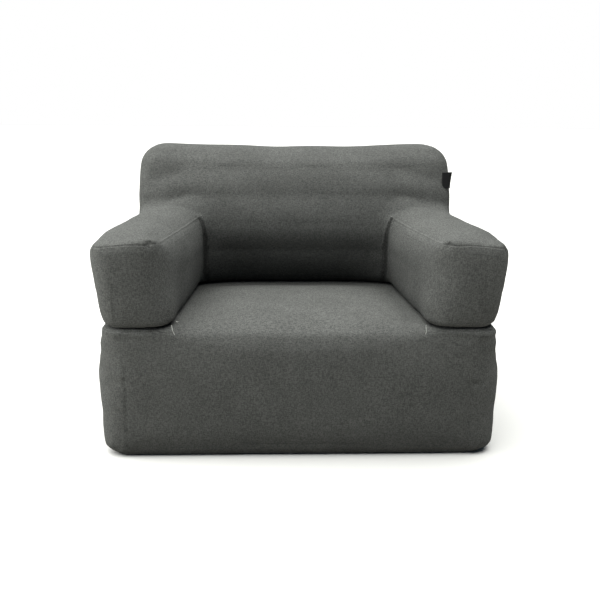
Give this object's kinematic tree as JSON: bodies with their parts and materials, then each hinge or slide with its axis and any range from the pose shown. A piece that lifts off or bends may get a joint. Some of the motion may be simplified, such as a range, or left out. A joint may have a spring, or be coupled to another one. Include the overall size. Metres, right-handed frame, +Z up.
{
  "type": "inflatable armchair",
  "caption": "Inflatable armchair with a sewn charcoal fabric cover over two air chambers, low square arms, a swollen backrest, and rear screw valves and zips.",
  "frame": {"origin": "On the floor, under the middle of the chair's bounding box.", "axes": "+X points to the right as the picture shows the chair, +Y to the rear of the chair, and +Z up. The chair faces -Y."},
  "size_m": [1.1052, 0.8668, 0.8118],
  "materials": {
    "charcoal_cloth": "matte",
    "chamber_film": "satin",
    "web_film": "satin",
    "valve_plastic": "satin",
    "seal_rubber": "matte",
    "flap_silicone": "satin",
    "binding_tape": "matte",
    "zip_tape": "matte",
    "zip_metal": "satin",
    "tab_ribbon": "satin"
  },
  "bodies": {
    "chair": {"seat_panel": "charcoal_cloth", "base_band": "charcoal_cloth", "base_bottom_panel": "charcoal_cloth", "left_arm_top_panel": "charcoal_cloth", "left_arm_band": "charcoal_cloth", "left_arm_bottom_panel": "charcoal_cloth", "right_arm_top_panel": "charcoal_cloth", "right_arm_band": "charcoal_cloth", "right_arm_bottom_panel": "charcoal_cloth", "back_front_panel": "charcoal_cloth", "back_gusset": "charcoal_cloth", "back_rear_panel": "charcoal_cloth", "base_bladder": "chamber_film", "back_and_arm_bladder": "chamber_film", "base_web_left": "web_film", "base_web_middle": "web_film", "base_web_right": "web_film", "back_web_lowest": "web_film", "back_web_low": "web_film", "back_web_high": "web_film", "back_web_top": "web_film", "left_arm_web": "web_film", "right_arm_web": "web_film", "base_valve_base": "valve_plastic", "back_valve_base": "valve_plastic", "base_valve_binding": "binding_tape", "back_valve_binding": "binding_tape", "base_zip_upper_tape": "zip_tape", "base_zip_lower_tape": "zip_tape", "back_zip_upper_tape": "zip_tape", "back_zip_lower_tape": "zip_tape", "side_tab": "tab_ribbon"},
    "base_insert_seal": {"base_valve_insert_seal": "seal_rubber"},
    "base_insert": {"base_valve_insert": "valve_plastic"},
    "base_flap": {"base_valve_flap": "flap_silicone"},
    "base_cap_seal": {"base_valve_cap_seal": "seal_rubber"},
    "base_cap": {"base_valve_cap": "valve_plastic"},
    "back_insert_seal": {"back_valve_insert_seal": "seal_rubber"},
    "back_insert": {"back_valve_insert": "valve_plastic"},
    "back_flap": {"back_valve_flap": "flap_silicone"},
    "back_cap_seal": {"back_valve_cap_seal": "seal_rubber"},
    "back_cap": {"back_valve_cap": "valve_plastic"},
    "base_slider": {"base_zip_slider": "zip_metal"},
    "base_pull": {"base_zip_pull": "zip_metal"},
    "back_slider": {"back_zip_slider": "zip_metal"},
    "back_pull": {"back_zip_pull": "zip_metal"}
  },
  "joints": [
    {"name": "base_insert_lift", "type": "slide", "parent": "chair", "child": "base_insert_seal", "axis": [0, 1, 0], "range_m": [0, 0.012]},
    {"name": "base_insert_turn", "type": "hinge", "parent": "base_insert_seal", "child": "base_insert", "pos_m": [0.38, 0.4114, 0.21], "axis": [0, 1, 0], "range_deg": [0, 1440]},
    {"name": "base_flap_lift", "type": "slide", "parent": "base_insert", "child": "base_flap", "axis": [0, -1, 0], "range_m": [0, 0.003], "stiffness_N_per_m": 40},
    {"name": "base_cap_lift", "type": "slide", "parent": "base_insert", "child": "base_cap_seal", "axis": [0, 1, 0], "range_m": [0, 0.006]},
    {"name": "base_cap_turn", "type": "hinge", "parent": "base_cap_seal", "child": "base_cap", "pos_m": [0.38, 0.4114, 0.21], "axis": [0, 1, 0], "range_deg": [0, 720]},
    {"name": "back_insert_lift", "type": "slide", "parent": "chair", "child": "back_insert_seal", "axis": [0, 1, 0], "range_m": [0, 0.012]},
    {"name": "back_insert_turn", "type": "hinge", "parent": "back_insert_seal", "child": "back_insert", "pos_m": [0.3, 0.4114, 0.6], "axis": [0, 1, 0], "range_deg": [0, 1440]},
    {"name": "back_flap_lift", "type": "slide", "parent": "back_insert", "child": "back_flap", "axis": [0, -1, 0], "range_m": [0, 0.003], "stiffness_N_per_m": 40},
    {"name": "back_cap_lift", "type": "slide", "parent": "back_insert", "child": "back_cap_seal", "axis": [0, 1, 0], "range_m": [0, 0.006]},
    {"name": "back_cap_turn", "type": "hinge", "parent": "back_cap_seal", "child": "back_cap", "pos_m": [0.3, 0.4114, 0.6], "axis": [0, 1, 0], "range_deg": [0, 720]},
    {"name": "base_zip_slide", "type": "slide", "parent": "chair", "child": "base_slider", "axis": [-1, 0, 0], "range_m": [0, 0.576]},
    {"name": "base_pull_swing", "type": "hinge", "parent": "base_slider", "child": "base_pull", "pos_m": [0.248, 0.4189, 0.085], "axis": [0, 0, -1], "range_deg": [0, 180]},
    {"name": "back_zip_slide", "type": "slide", "parent": "chair", "child": "back_slider", "axis": [-1, 0, 0], "range_m": [0, 0.576]},
    {"name": "back_pull_swing", "type": "hinge", "parent": "back_slider", "child": "back_pull", "pos_m": [0.248, 0.4189, 0.45], "axis": [0, 0, -1], "range_deg": [0, 180]}
  ],
  "couplings": [
    {"joint": "base_insert_lift", "follows": "base_insert_turn", "m_per_rad": 0.00047746},
    {"joint": "base_cap_lift", "follows": "base_cap_turn", "m_per_rad": 0.00047746},
    {"joint": "back_insert_lift", "follows": "back_insert_turn", "m_per_rad": 0.00047746},
    {"joint": "back_cap_lift", "follows": "back_cap_turn", "m_per_rad": 0.00047746}
  ]
}
